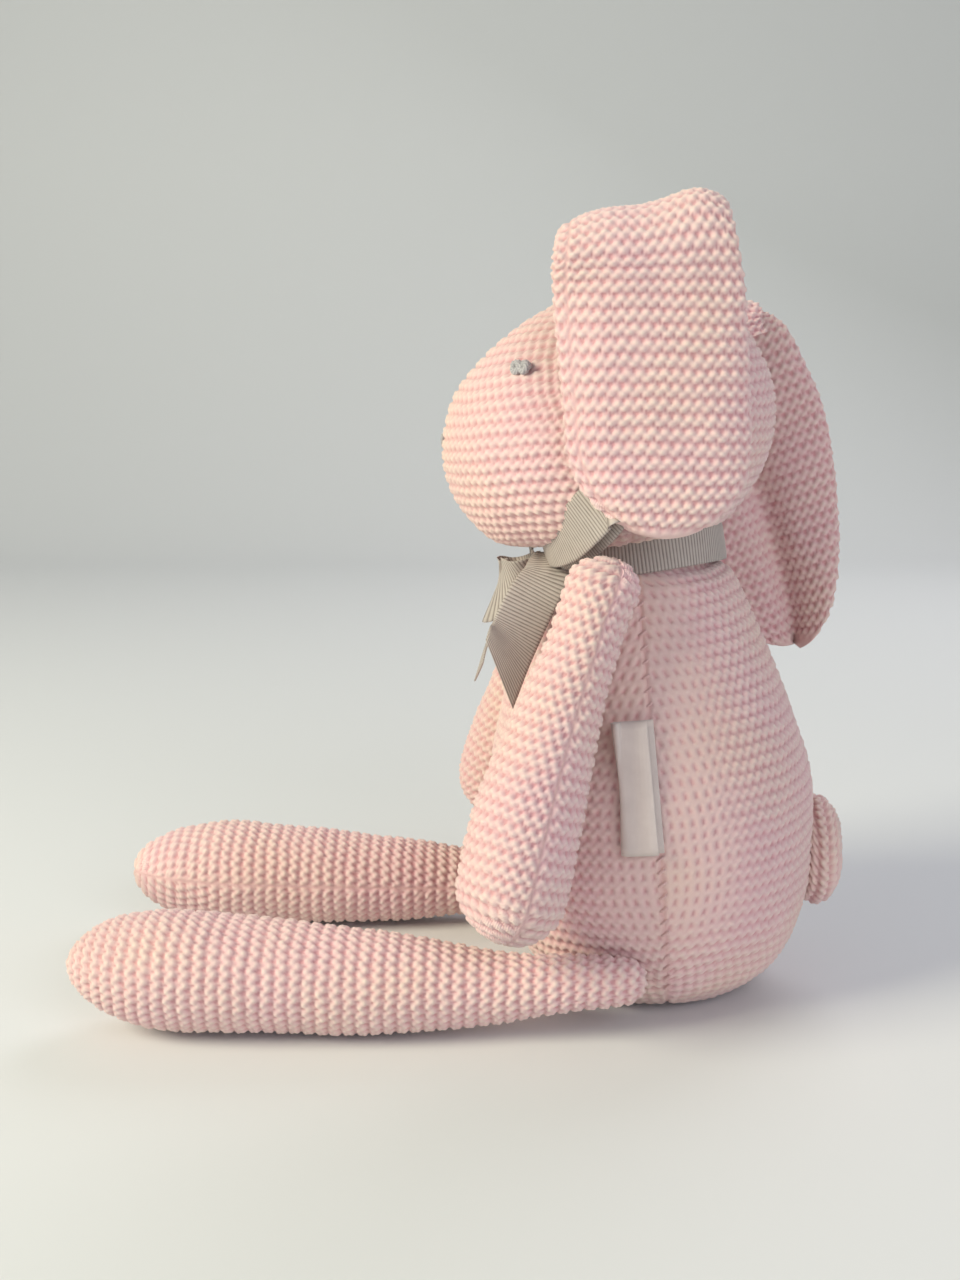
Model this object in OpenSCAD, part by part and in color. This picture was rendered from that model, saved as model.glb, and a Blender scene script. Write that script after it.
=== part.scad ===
// Knitted stuffed bunny, sitting with its legs straight out in front of it.
// +Z is up and z = 0 is the surface it sits on. The bunny faces -Y and its left side is +X.
// Every sewn cover is a skin of knitted fabric round its own stuffing. The head turns and nods
// on a stuffed neck plug, the limbs swing where they are sewn on, and the ear flaps swing at
// their folds. Sizes are in millimetres.

/* [Fabric] */
// Thickness of the knitted fabric
skin_t = 2.4; // [1.5:0.1:4]
// Thickness of the neck ribbon
ribbon_t = 1.2; // [0.8:0.1:2]
// Width of the neck ribbon
ribbon_w = 15; // [10:1:20]

/* [Body] */
// Radius of the belly
body_r = 54.5; // [45:0.5:65]
// Height of the widest part of the belly
belly_z = 66; // [50:1:80]
// Height of the shoulders, where the neck starts
body_h = 144; // [120:1:170]
// Radius of the body at the neck seam
neck_seam_r = 30; // [24:0.5:36]
// Forward lean of the body in degrees
body_lean = 5; // [0:1:12]
// Where the leaning centre line meets the seat, along Y
seat_y = -5.7; // [-20:0.1:20]

/* [Neck] */
// Radius of the neck under the ribbon
neck_r = 23.5; // [18:0.5:28]
// Radius of the stuffed plug that runs into body and head
plug_r = 15; // [10:0.5:18]
// Height of the head's underside along the neck
head_seat_t = 157; // [150:0.5:170]

/* [Head] */
// Radius of the head at its fullest
head_r = 46; // [38:0.5:55]
// Length of the face, from the fullest ring to the snout
face_len = 60; // [45:1:75]
// Length of the back of the head, from the fullest ring
nape_len = 49; // [40:1:60]
// Height of the head's centre
head_z = 187.6; // [170:0.5:200]
// Position of the head's fullest ring along Y
head_y = -22; // [-30:1:0]
// Downward slope of the face in degrees
face_drop = 6.3; // [0:0.1:15]

/* [Ears] */
// Thickness of one knitted ear layer
ear_layer_t = 4; // [2:0.5:5]
// Radius of the fold where the flap turns over, at mid thickness
fold_r = 14; // [10:0.5:18]
// Length of the left flap below its fold
left_flap_len = 79; // [60:1:120]
// Length of the right flap below its fold
right_flap_len = 122; // [90:1:140]
// Backward swing of the right ear in degrees
right_ear_tilt = 22; // [0:1:30]

/* [Arms] */
// Radius of the arm where it is sewn on
shoulder_r = 10.5; // [8:0.5:14]
// Radius of the hand
hand_r = 16; // [12:0.5:20]
// Length of the arm from the shoulder to where the hand starts to close
arm_len = 94; // [80:1:120]
// Length of the rounded hand
hand_len = 17; // [10:1:25]

/* [Legs] */
// Radius of the leg where it is sewn on
hip_r = 8; // [6:0.5:12]
// Radius of the foot
foot_r = 19.3; // [15:0.1:24]
// Length of the leg from the hip to where the toe starts to close
shin_len = 137; // [110:1:160]
// Length of the rounded toe
toe_len = 40; // [25:1:50]

/* [Tail] */
// Radius of the tail disc
tail_r = 19.5; // [14:0.5:26]
// Half the thickness of the tail disc
tail_half_t = 9; // [6:0.5:14]

/* [Trim] */
// Radius of an eye knot
eye_r = 3.8; // [3:0.1:6]
// Height of the side label
label_h = 41; // [20:1:50]
// How far the side label stands out of its seam
label_w = 10; // [8:1:20]

/* [Hidden] */
$fn = 96;
big = 400;
gap = 0.05;
play = 0.6;
band_h = 9.6;
label_t = 1.2;
label_back = 2;
steps = 22;
seat_drop = 4;

shoulder = [45, -31, 141];
hand = [67, -61, 45.5];
hip = [51.5, -25, 13.4];
leg_rise = 2.78;
leg_toe_in = 1.8;

left_fold = [38.5, -20, 238];
right_fold = [-35, 6, 226];
knuckle_a = 50;

knot_t = 149;
knot_r = 5;
eye_at = [30, -56, 207];
snout_at = [0, -81.5, 183];

knit = "#e8b9b6";
knit_back = "#e3b0b0";
fill = "#f4f1ea";
ribbon = "#a39a98";
thread = "#a7a3a6";
tab = "#efe9e1";
seam = "#cf8f97";

// ---- helpers ----

// Radius of the body at a height along its leaning centre line.
function body_rad(t) =
    t < belly_z
        ? body_r * pow(max(0, 1 - pow((belly_z - t) / (belly_z + seat_drop), 2.8)), 1 / 2.8)
        : body_r - (body_r - neck_seam_r) * pow((t - belly_z) / (body_h - belly_z), 1.5);

// Radius of the head at a distance in front of its fullest ring.
function head_rad(d, off) =
    (head_r - off) * sqrt(max(0, 1 - pow(d / ((d > 0 ? face_len : nape_len) - off), 2)));

// Radius of a leg at a distance along it from the hip.
function leg_rad(d) =
    d < 0 ? sqrt(max(0, hip_r * hip_r - d * d))
    : d < shin_len ? hip_r + (foot_r - hip_r) * (1 - pow(1 - d / shin_len, 1.5))
    : foot_r * sqrt(max(0, 1 - pow((d - shin_len) / toe_len, 2)));

// Radius of an arm at a distance along it from the shoulder.
function arm_rad(d) =
    d < 0 ? sqrt(max(0, shoulder_r * shoulder_r - d * d))
    : d < arm_len ? shoulder_r + (hand_r - shoulder_r) * (1 - cos(180 * d / arm_len)) / 2
    : hand_r * sqrt(max(0, 1 - pow((d - arm_len) / hand_len, 2)));

// A limb's radius with its surface moved in by off, less so where the limb is thin.
function thinned(r, off) = max(0.3, r - off * min(1, r / (2 * off + 1)));

// Puts its children in the body's frame, with Z along the leaning centre line.
module in_body() {
    translate([0, seat_y, 0]) rotate([body_lean, 0, 0]) children();
}

// Puts its children in the head's frame, with Z out through the snout.
module in_head() {
    translate([0, head_y, head_z]) rotate([90 + face_drop, 0, 0]) children();
}

// Puts its children in a leg's frame, with Z from the hip to the toe.
module in_leg(side) {
    translate([side * hip[0], hip[1], hip[2]]) rotate([90 - leg_rise, 0, -side * leg_toe_in])
        children();
}

// The body as one solid, its surface moved in by off.
module body_solid(off) {
    low = -seat_drop;
    rotate_extrude()
        polygon(concat(
            [[0, low + off]],
            [for (i = [1 : steps])
                let (t = low + off + (body_h - low - off) * pow(i / steps, 1.4))
                [max(0.5, body_rad(t - (t < belly_z ? off : 0)) - off), t]],
            [[0, body_h]]
        ));
}

// Everything below the seat, moved up by off.
module under_seat(off) {
    translate([-big / 2, -big / 2, off - big]) cube([big, big, big]);
}

// The neck's run through body and head, at a given radius.
module neck_hole(r, low, high) {
    in_body() translate([0, 0, low]) cylinder(h = high - low, r = r);
}

// The head as one solid, its surface moved in by off.
module head_solid(off) {
    span = face_len + nape_len - 2 * off;
    rotate_extrude()
        polygon([for (i = [0 : steps])
            let (d = -(nape_len - off) + span * (1 - cos(180 * i / steps)) / 2)
            [i == 0 || i == steps ? 0 : head_rad(d, off), d]]);
}

// What the flat underside of the head leaves out.
module under_head() {
    in_body() translate([-big / 2, -big / 2, head_seat_t - big]) cube([big, big, big]);
}

// A body panel: the half of the skin in front of (-1) or behind (1) the side seams.
module body_panel(side) {
    difference() {
        in_body() intersection() {
            difference() {
                body_solid(0);
                difference() {
                    body_solid(skin_t);
                    // the inner face follows the flat seat
                    rotate([-body_lean, 0, 0]) translate([0, -seat_y, 0]) under_seat(skin_t);
                }
                translate([0, 0, 110]) cylinder(h = 60, r = plug_r + play);
            }
            translate([-big / 2, side > 0 ? 0 : -big, -big / 2]) cube([big, big, big]);
        }
        under_seat(0);
    }
}

// A head panel: the face (1) or the back of the head (-1).
module head_panel(side) {
    difference() {
        in_head() intersection() {
            difference() {
                head_solid(0);
                head_solid(skin_t);
            }
            translate([-big / 2, -big / 2, side > 0 ? 0 : -big]) cube([big, big, big]);
        }
        under_head();
        neck_hole(plug_r + 6, 150, 184);
    }
}

// The left arm as one solid, its surface moved in by off.
module arm_solid(off) {
    v = hand - shoulder;
    low = -shoulder_r;
    high = arm_len + hand_len;
    n = 24;
    translate(shoulder) rotate([0, acos(v[2] / norm(v)), atan2(v[1], v[0])]) rotate_extrude()
        polygon([for (i = [0 : n])
            let (d = low + (high - low) * (1 - cos(180 * i / n)) / 2, m = (d - low) / (high - low))
            [i == 0 || i == n ? 0 : thinned(arm_rad(d), off), d + off * (1 - 2 * m)]]);
}

// A leg as one solid along Z, its surface moved in by off.
module leg_solid(off) {
    low = -hip_r;
    high = shin_len + toe_len;
    n = 26;
    rotate_extrude()
        polygon([for (i = [0 : n])
            let (d = low + (high - low) * (1 - cos(180 * i / n)) / 2, m = (d - low) / (high - low))
            [i == 0 || i == n ? 0 : thinned(leg_rad(d), off), d + off * (1 - 2 * m)]]);
}

// Outline of an ear flap, hanging down from the fold; z is down the page.
module ear_outline(len, half) {
    end_r = half - 3;
    polygon(concat(
        [for (a = [180 : 15 : 360]) [end_r * cos(a), -len + end_r + end_r * sin(a)]],
        [[half, -len / 2], [half - 2, -8], [half - 6, fold_r + 6]],
        [[-half + 6, fold_r + 6], [-half + 2, -8], [-half, -len / 2]]
    ));
}

// An ear's strip seen from the front, from radius r0 to r1 about the fold, between two angles.
module ear_strip(r0, r1, a0, a1) {
    difference() {
        circle(r = r1);
        circle(r = r0);
        rotate(a0) translate([-big / 2, -big]) square([big, big]);
        rotate(a1) translate([-big / 2, 0]) square([big, big]);
    }
}

// Puts its children in an ear's frame: x outwards, y to the back, z up, origin at the fold.
module in_ear(left) {
    if (left) translate(left_fold) children();
    else mirror([1, 0, 0]) translate([-right_fold[0], right_fold[1], right_fold[2]])
        rotate([right_ear_tilt, 0, 0]) children();
}

// Where the flap turns against the root.
module at_knuckle() {
    translate([fold_r * cos(knuckle_a), 0, fold_r * sin(knuckle_a)]) rotate([90, 0, 0]) children();
}

// Keeps an ear's solid inside its outline.
module ear_trim(len, half) {
    intersection() {
        translate([-100, 0, 0]) rotate([90, 0, 90]) linear_extrude(height = 300) ear_outline(len, half);
        children();
    }
}

// One layer of the hanging flap, from radius r0 to r1 about the fold.
module ear_layer(len, half, r0, r1, with_knuckle) {
    ear_trim(len, half) union() {
        difference() {
            rotate([90, 0, 0]) linear_extrude(height = 2 * half + 10, center = true) union() {
                ear_strip(r0, r1, 0, knuckle_a);
                translate([r0, -len - 5]) square([r1 - r0, len + 5.01]);
            }
            if (!with_knuckle)
                at_knuckle() cylinder(h = 2 * half + 20, r = ear_layer_t + gap, center = true);
        }
        if (with_knuckle) at_knuckle() cylinder(h = 2 * half + 10, r = ear_layer_t, center = true);
    }
}

// The part of an ear that stands on the head and carries the flap.
module ear_root(left, half, foot) {
    difference() {
        in_ear(left) rotate([90, 0, 0]) linear_extrude(height = 2 * half, center = true)
            difference() {
                union() {
                    ear_strip(fold_r - ear_layer_t, fold_r + ear_layer_t, knuckle_a, 180);
                    translate([-fold_r - ear_layer_t, -foot]) square([2 * ear_layer_t, foot + 0.01]);
                }
                translate([fold_r * cos(knuckle_a), fold_r * sin(knuckle_a)])
                    circle(r = ear_layer_t + 0.9);
            }
        if (left) in_head() rotate([0, 0, 130]) head_solid(-gap);
        else translate([0, head_y + 2, head_z]) sphere(r = head_r + 0.4);
    }
}

// Puts its children at the front of the neck, where the bow is tied.
module at_knot() {
    in_body() translate([0, -neck_r - ribbon_t - play - knot_r, knot_t]) children();
}

// Short stitches across a side seam.
module seam_stitches(side) {
    in_body() for (t = [16 : 8 : 134])
        translate([side * (body_rad(t) + 0.9), 0, t]) rotate([90, 0, 0])
            cylinder(h = 3.2, r = 0.6, center = true, $fn = 24);
}

// ---- body ----

module body_front_panel() { color(knit) body_panel(-1); }

module body_back_panel() { color(knit_back) body_panel(1); }

module body_stuffing() {
    color(fill) difference() {
        in_body() body_solid(skin_t);
        under_seat(skin_t);
        neck_hole(plug_r + play, 110, 170);
    }
}

module tail_cover() {
    color(knit) difference() {
        tail_solid(0);
        tail_solid(skin_t);
        in_body() body_solid(-gap);
    }
}

module tail_stuffing() {
    color(fill) difference() {
        tail_solid(skin_t);
        in_body() body_solid(-gap);
    }
}

// The tail disc, its surface moved in by off.
module tail_solid(off) {
    translate([0, 45.5, 45]) rotate([90, 0, 0]) rotate_extrude()
        polygon([for (i = [0 : 12])
            [i == 0 || i == 12 ? 0 : (tail_r - off) * sin(180 * i / 12), -(tail_half_t - off) * cos(180 * i / 12)]]);
}

// ---- neck and head ----

module neck_stuffing() {
    color(fill) in_body() rotate_extrude() polygon([
        [0, 118], [plug_r - 3, 118], [plug_r, 122], [plug_r, body_h + 0.4], [neck_r, body_h + 0.4],
        [neck_r, body_h + 9], [plug_r, body_h + band_h], [plug_r, 174], [plug_r - 5, 180], [0, 180]
    ]);
}

module head_front_panel() { color(knit) head_panel(1); }

module head_back_panel() { color(knit_back) head_panel(-1); }

module head_stuffing() {
    color(fill) difference() {
        in_head() head_solid(skin_t);
        under_head();
        neck_hole(plug_r + 6, 150, 184);
    }
}

module eye(side) {
    color(thread) difference() {
        translate([side * eye_at[0], eye_at[1], eye_at[2]]) sphere(r = eye_r, $fn = 48);
        in_head() head_solid(-gap);
    }
}

module left_eye() { eye(1); }

module right_eye() { eye(-1); }

module nose_stitching() {
    color(thread) difference() {
        for (side = [-1, 0, 1]) translate([side * 2.6, snout_at[1] + abs(side) * 0.1, snout_at[2]])
            rotate([0, side * 12, 0]) cylinder(h = 6, r = 1.2, center = true, $fn = 24);
        in_head() head_solid(-gap);
    }
}

// ---- ears ----

module left_ear_root() { color(knit) ear_root(true, 23, 16); }

module left_ear_outer() {
    color(knit) in_ear(true) ear_layer(left_flap_len, 28, fold_r, fold_r + ear_layer_t, true);
}

module left_ear_inner() {
    color(knit_back) in_ear(true)
        ear_layer(left_flap_len, 28, fold_r - ear_layer_t, fold_r - gap, false);
}

module right_ear_root() { color(knit) ear_root(false, 17, 12); }

module right_ear_outer() {
    color(knit) in_ear(false) ear_layer(right_flap_len, 29, fold_r, fold_r + ear_layer_t, true);
}

module right_ear_inner() {
    color(knit_back) in_ear(false)
        ear_layer(right_flap_len, 29, fold_r - ear_layer_t, fold_r - gap, false);
}

// ---- arms and legs ----

module arm_cover(side) {
    color(knit) mirror([side < 0 ? 1 : 0, 0, 0]) difference() {
        arm_solid(0);
        arm_solid(skin_t);
    }
}

module arm_stuffing(side) { color(fill) mirror([side < 0 ? 1 : 0, 0, 0]) arm_solid(skin_t); }

module left_arm_cover() { arm_cover(1); }

module left_arm_stuffing() { arm_stuffing(1); }

module right_arm_cover() { arm_cover(-1); }

module right_arm_stuffing() { arm_stuffing(-1); }

module leg_cover(side) {
    color(knit) in_leg(side) difference() {
        leg_solid(0);
        leg_solid(skin_t);
    }
}

module leg_stuffing(side) { color(fill) in_leg(side) leg_solid(skin_t); }

module left_leg_cover() { leg_cover(1); }

module left_leg_stuffing() { leg_stuffing(1); }

module right_leg_cover() { leg_cover(-1); }

module right_leg_stuffing() { leg_stuffing(-1); }

// ---- ribbon and trim ----

module ribbon_neck_band() {
    color(ribbon) in_body() translate([0, 0, body_h + gap]) difference() {
        cylinder(h = band_h, r = neck_r + play + ribbon_t);
        translate([0, 0, -1]) cylinder(h = 12, r = neck_r + play);
    }
}

module ribbon_knot() {
    color(ribbon) at_knot() rotate([0, 90, 0]) cylinder(h = 12, r = knot_r - gap, center = true);
}

module ribbon_left_loop() {
    color(ribbon) ribbon_strip(2 * ribbon_t, [
        [[8, -47, 148.2], [0, 0.2, -0.98], 4],
        [[18, -47.8, 145.4], [0.1, 0.25, -0.95], 6.5],
        [[26, -48.4, 145.4], [0.2, 0.3, -0.93], 6.5]]);
}

module ribbon_right_loop() {
    color(ribbon) ribbon_strip(2 * ribbon_t, [
        [[3, -60, 139], [0, -0.55, -0.83], 16],
        [[-6, -64.5, 139], [0, -0.4, -0.92], 17]]);
}

module ribbon_left_tail() {
    color(ribbon) ribbon_strip(ribbon_t, [
        [[8, -49.5, 144], [0, 0.9, -0.4], 5],
        [[23, -53.5, 136], [-0.15, 0.84, -0.52], 13],
        [[25.5, -64.5, 111], [-0.3, 0.8, -0.52], ribbon_w - 1]]);
}

module ribbon_right_tail() {
    color(ribbon) ribbon_strip(ribbon_t, [
        [[-9.5, -50.5, 144.5], [1, 0, 0], 5],
        [[-14, -61, 126], [1, 0, 0], 11],
        [[-15, -70.5, 100], [1, 0, 0], 12]]);
}

// A ribbon t thick through the stops. Each stop is its middle, the direction across it and its width.
module ribbon_strip(t, stops) {
    for (i = [0 : len(stops) - 2])
        hull() for (stop = [stops[i], stops[i + 1]], side = [-0.5, 0.5])
            translate(stop[0] + side * stop[2] * stop[1] / norm(stop[1])) sphere(d = t, $fn = 16);
}

module side_label() {
    color(tab) in_body() translate([body_r - 1, 0, 83]) rotate([0, -8, 0])
        translate([0, -label_w - label_back, -label_h / 2]) cube([label_t, label_w, label_h]);
}

module left_seam_thread() { color(seam) seam_stitches(1); }

module right_seam_thread() { color(seam) seam_stitches(-1); }

body_front_panel();
body_back_panel();
body_stuffing();
head_front_panel();
head_back_panel();
head_stuffing();
neck_stuffing();
left_arm_cover();
left_arm_stuffing();
right_arm_cover();
right_arm_stuffing();
left_leg_cover();
left_leg_stuffing();
right_leg_cover();
right_leg_stuffing();
left_ear_root();
left_ear_outer();
left_ear_inner();
right_ear_root();
right_ear_outer();
right_ear_inner();
tail_cover();
tail_stuffing();
left_eye();
right_eye();
nose_stitching();
ribbon_neck_band();
ribbon_knot();
ribbon_left_loop();
ribbon_right_loop();
ribbon_left_tail();
ribbon_right_tail();
side_label();
left_seam_thread();
right_seam_thread();
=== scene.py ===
"""Looks of the knitted stuffed bunny: real garter-stitch relief on every cover, ribbed ribbon, yarn knots."""

import math

import bpy
import numpy as np
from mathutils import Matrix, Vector


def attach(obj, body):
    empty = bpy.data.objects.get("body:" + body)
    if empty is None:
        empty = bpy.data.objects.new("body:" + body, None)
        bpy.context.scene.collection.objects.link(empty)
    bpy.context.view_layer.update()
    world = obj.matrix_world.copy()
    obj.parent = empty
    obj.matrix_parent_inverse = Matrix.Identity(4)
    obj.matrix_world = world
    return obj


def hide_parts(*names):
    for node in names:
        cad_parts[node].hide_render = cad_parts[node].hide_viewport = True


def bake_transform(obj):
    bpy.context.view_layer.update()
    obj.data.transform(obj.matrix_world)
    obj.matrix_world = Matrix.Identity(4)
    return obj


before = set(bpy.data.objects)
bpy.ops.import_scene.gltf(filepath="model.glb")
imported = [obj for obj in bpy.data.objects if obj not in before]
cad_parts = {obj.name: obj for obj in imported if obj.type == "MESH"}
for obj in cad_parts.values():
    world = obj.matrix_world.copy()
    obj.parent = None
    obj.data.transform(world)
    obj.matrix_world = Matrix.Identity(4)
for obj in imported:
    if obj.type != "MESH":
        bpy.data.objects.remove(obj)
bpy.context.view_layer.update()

MM = 0.001

# ---- sizes of the knit, in millimetres ----
RIDGE = 4.2  # one garter ridge
STITCH = 3.5  # one stitch along a ridge
RELIEF = 1.35  # from the valley to the top of a ridge
STEP = 0.52  # spacing of the mesh

# ---- sizes of the toy, in millimetres, as in the CAD ----
BODY_LEAN = math.radians(5.0)  # the body leans forward
SEAT_Y = -5.7  # where its leaning centre line meets the seat
BODY_R, BELLY_Z = 54.5, 66  # fullest radius, and its height
BODY_H, NECK_SEAM_R = 144, 30  # the shoulders, and the radius there
SEAT_DROP = 4  # how far the round bottom would reach below the seat
NECK_R = 25.5  # the body's radius under the ribbon
NECK_FROM, NECK_OVER = 139, 8.5  # height where it starts to draw in, and over how much
SEAM_TURN = 3.0  # degrees the side seams sit in front of the middle
HEAD_AT = np.array([0, -22.0, 187.6])
HEAD_R, FACE_LEN, NAPE_LEN = 46, 60.0, 49.0
FACE_DROP = math.radians(6.3)
HEAD_SEAT = 153.0  # height of the head's underside along the leaning centre line
SHOULDER, HAND = np.array([45.0, -31, 141]), np.array([67.0, -61, 45.5])  # the left ones
SHOULDER_R, HAND_R = 10.5, 16
ARM_LEN, HAND_LEN = 94, 17
HIP = np.array([51.5, -25, 13.4])  # the left one
HIP_R, FOOT_R = 8, 19.3
SHIN_LEN, TOE_LEN = 137, 38
LEG_RISE, TOE_IN = math.radians(2.78), math.radians(1.8)
TAIL_AT = np.array([0, 46.0, 45.0])
TAIL_R, TAIL_HALF = 18.6, 8.6  # radius and half thickness
EYE_AT = np.array([31.0, -56.3, 207.3])  # the left one
NOSE_AT = np.array([0, -81.0, 184.0])
LABEL_Z, LABEL_H = 83.0, 41.0
RIBBON_W = 16.5  # the ribbon laid flat
SLEEVE_R, SLEEVE_FROM, SLEEVE_TO = 23.7, 141, 165  # the neck inside the ribbon


# ==============================
# small helpers
# ==============================
def smooth(x):
    """0 up to x = 0, 1 from x = 1, and an easy slope between."""
    x = np.clip(x, 0.0, 1.0)
    return x * x * (3 - 2 * x)


def lerp(a, b, t):
    """From a at t = 0 to b at t = 1."""
    return a + (b - a) * t


def unit(v):
    """The vectors scaled to a length of 1."""
    v = np.asarray(v, float)
    n = np.linalg.norm(v, axis=-1, keepdims=True)
    return v / np.where(n > 1e-12, n, 1.0)


def lumps(p, size, seed):
    """Soft, slow unevenness of stuffing: about -1 to 1, over the given size."""
    k = 2 * math.pi / size
    rng = np.random.default_rng(seed)
    total = np.zeros(p.shape[:-1])
    for i in range(6):
        d = unit(rng.normal(size=3)) * k * rng.uniform(0.6, 1.5)
        total += np.sin(p @ d + rng.uniform(0, 6.28))
    return total / 3.2


def hashed(a, b, seed):
    """A steady random number from -1 to 1 for each stitch."""
    x = np.sin(a * 127.1 + b * 311.7 + seed * 74.7) * 43758.5453
    return 2 * (x - np.floor(x)) - 1


def spline(points, n):
    """A smooth line through the points, with n samples evenly spaced along it."""
    p = np.asarray(points, float)
    p = np.vstack([2 * p[0] - p[1], p, 2 * p[-1] - p[-2]])
    out = []
    for i in range(1, len(p) - 2):
        t = np.linspace(0, 1, 40, endpoint=False)[:, None]
        a, b, c, d = p[i - 1], p[i], p[i + 1], p[i + 2]
        out.append(
            0.5 * (2 * b + (c - a) * t + (2 * a - 5 * b + 4 * c - d) * t**2 + (3 * b - a - 3 * c + d) * t**3)
        )
    out = np.vstack(out + [p[-2][None]])
    s = np.concatenate([[0], np.cumsum(np.linalg.norm(np.diff(out, axis=0), axis=1))])
    want = np.linspace(0, s[-1], n)
    return np.stack([np.interp(want, s, out[:, k]) for k in range(out.shape[1])], 1), s[-1]


def make_mesh(name, verts, faces, material, uv=None, fields=None):
    """A mesh object from vertices in millimetres and a list of face arrays."""
    me = bpy.data.meshes.new(name)
    verts = np.asarray(verts, float) * MM
    me.vertices.add(len(verts))
    me.vertices.foreach_set("co", verts.astype(np.float32).ravel())
    loops = np.concatenate([f.ravel() for f in faces]).astype(np.int32)
    sizes = np.concatenate([np.full(len(f), f.shape[1]) for f in faces])
    starts = np.concatenate([[0], np.cumsum(sizes)[:-1]]).astype(np.int32)
    me.loops.add(len(loops))
    me.loops.foreach_set("vertex_index", loops)
    me.polygons.add(len(sizes))
    me.polygons.foreach_set("loop_start", starts)
    me.update(calc_edges=True)
    me.validate()
    me.polygons.foreach_set("use_smooth", np.ones(len(me.polygons), bool))
    if uv is not None:
        layer = me.uv_layers.new(name="UVMap")
        idx = np.zeros(len(me.loops), np.int32)
        me.loops.foreach_get("vertex_index", idx)
        layer.data.foreach_set("uv", np.asarray(uv, np.float32)[idx].ravel())
    for key, value in (fields or {}).items():
        layer = me.attributes.new(key, "FLOAT", "POINT")
        layer.data.foreach_set("value", np.asarray(value, np.float32).ravel())
    me.materials.append(material)
    obj = bpy.data.objects.new(name, me)
    bpy.context.scene.collection.objects.link(obj)
    return obj


def grid_faces(nv, nu, closed, offset=0, flip=False):
    """The quads of a grid of nv rows of nu points, whose rows may close into rings."""
    i = np.arange(nv - 1)[:, None] * nu
    j = np.arange(nu if closed else nu - 1)[None, :]
    k = (j + 1) % nu
    q = np.stack([i + j, i + k, i + nu + k, i + nu + j], -1).reshape(-1, 4) + offset
    return q[:, ::-1] if flip else q


def fan(ring, tip, flip=False):
    """Triangles from a ring of points to one point."""
    nxt = np.roll(ring, -1)
    f = np.stack([nxt, ring, np.full(len(ring), tip)], 1)
    return f[:, ::-1] if flip else f


# ==============================
# the knit
# ==============================
def arc(x, half):
    """A half circle's height over -half to half, 0 outside."""
    return np.sqrt(np.clip(1 - (x / half) ** 2, 0, 1))


def garter(w, c, seed, open_knit=0.0):
    """Relief of garter stitch, 0 in the valleys to 1 on the ridges.
    w counts stitches along a ridge and c counts ridges. Each ridge is a row of loop heads
    (arched up) locked into a row of sinker loops (arched down); slanted yarn legs cross the
    valleys between the ridges."""
    # hand-made unevenness of the stitches and the ridges
    w0, c0 = w, c
    w = w + 0.09 * np.sin(0.9 * c0 + 0.21 * w0 + seed) + 0.05 * np.sin(2.1 * c0 - 0.37 * w0 + 2 * seed)
    c = c + 0.05 * np.sin(0.47 * w0 + seed) + 0.035 * np.sin(1.31 * w0 + 0.8 * c0 + 3 * seed)
    row = np.floor(c + 0.5)
    dc = c - row
    ia, ib = np.round(w), np.round(w - 0.5)
    da, db = w - ia, w - 0.5 - ib
    dc = dc + 0.035 * hashed(ia, row, seed)
    # the two rows of loops, as arched round yarn
    rise, yarn = 0.16, 0.27
    ya = dc - (rise - da**2) + 0.02 * hashed(ia, row, seed + 1)
    yb = dc + (rise - db**2) + 0.02 * hashed(ib, row, seed + 2)
    top_a = (0.93 + 0.09 * hashed(ia, row, seed + 3)) * (0.55 + 0.45 * np.cos(math.pi * da) ** 2)
    top_b = (0.93 + 0.09 * hashed(ib, row, seed + 4)) * (0.55 + 0.45 * np.cos(math.pi * db) ** 2)
    h = np.maximum(top_a * arc(ya, yarn), top_b * arc(yb, yarn))
    # the legs between them
    lean = 0.2 + 0.16 * np.abs(dc) * 2
    h = np.maximum(h, 0.34 * arc(np.abs(da) - lean, 0.15))
    # stretched open, the valleys fill with upright strands and leave a hole in each stitch
    hole = np.exp(-((da / 0.2) ** 2) - ((0.5 - np.abs(dc)) / 0.4) ** 4)
    return np.maximum(h * (1 - 0.25 * open_knit), open_knit * (0.62 - 0.6 * hole))


def lengths(p):
    """Distances along the rows from their middle, and down the columns, of a grid of points."""
    du = np.linalg.norm(np.diff(p, axis=1), axis=2)
    along = np.concatenate([np.zeros((len(p), 1)), np.cumsum(du, axis=1)], 1)
    along -= along[:, -1:] / 2
    dv = np.linalg.norm(np.diff(p, axis=0), axis=2).mean(axis=1)
    down = np.concatenate([[0], np.cumsum(dv)])
    return along, down


def grid_normals(p, closed):
    """Unit normals of a grid of points, on the side of rows crossed with columns."""
    if closed:
        du = np.roll(p, -1, axis=1) - np.roll(p, 1, axis=1)
    else:
        du = np.gradient(p, axis=1)
    dv = np.gradient(p, axis=0)
    return unit(np.cross(du, dv))


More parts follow.
